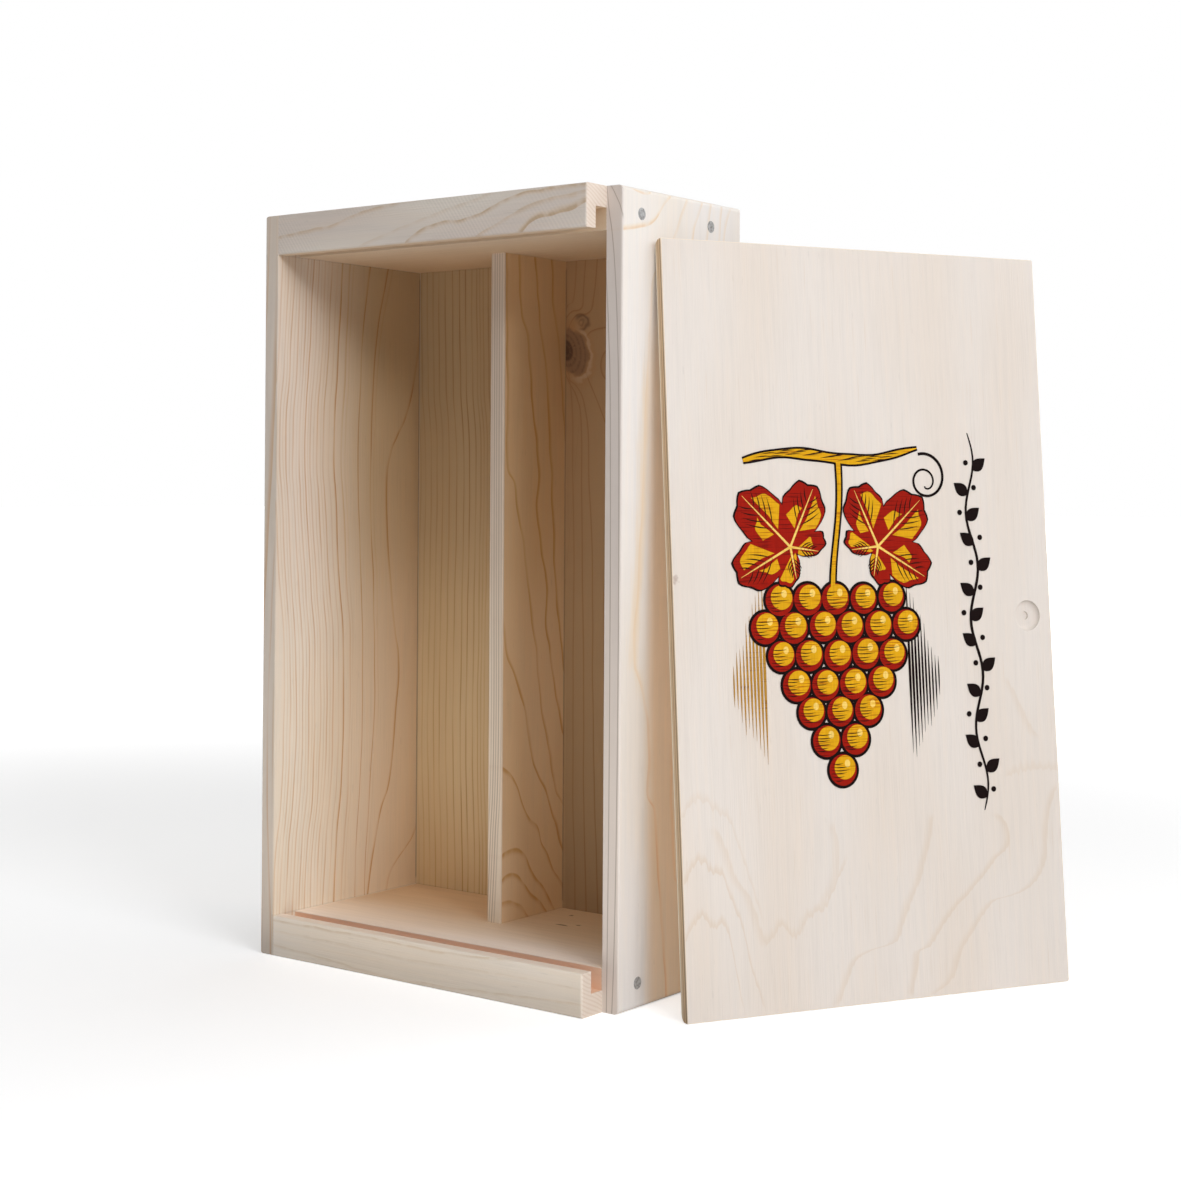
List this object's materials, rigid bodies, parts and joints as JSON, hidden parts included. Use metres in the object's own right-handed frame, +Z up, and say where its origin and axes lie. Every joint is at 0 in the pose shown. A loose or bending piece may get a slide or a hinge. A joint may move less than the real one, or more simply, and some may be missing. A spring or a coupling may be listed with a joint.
{
  "type": "wooden wine box",
  "caption": "Upright nailed pine wine box with a centre divider and grooved ends for its sliding plywood lid, which stands beside it and leans on it.",
  "frame": {"origin": "centre of the box's own base, on the surface that it stands on", "axes": "+X to the right across the opening, +Y from the opening to the back, +Z up"},
  "size_m": [0.3296, 0.2088, 0.355],
  "materials": {
    "pine_side": "sanded, unfinished",
    "pine_end": "sawn and sanded, unfinished",
    "pine_inner": "planed, unfinished",
    "birch_plywood": "sanded, unfinished",
    "nail_steel": "dull"
  },
  "bodies": {
    "root": {"side_left": "pine_side", "side_right": "pine_side", "end_top": "pine_end", "end_bottom": "pine_end", "back_panel": "pine_inner", "divider": "pine_inner", "lid": "birch_plywood", "corner_nails": "nail_steel", "back_brads": "nail_steel", "divider_nails": "nail_steel"}
  },
  "joints": []
}
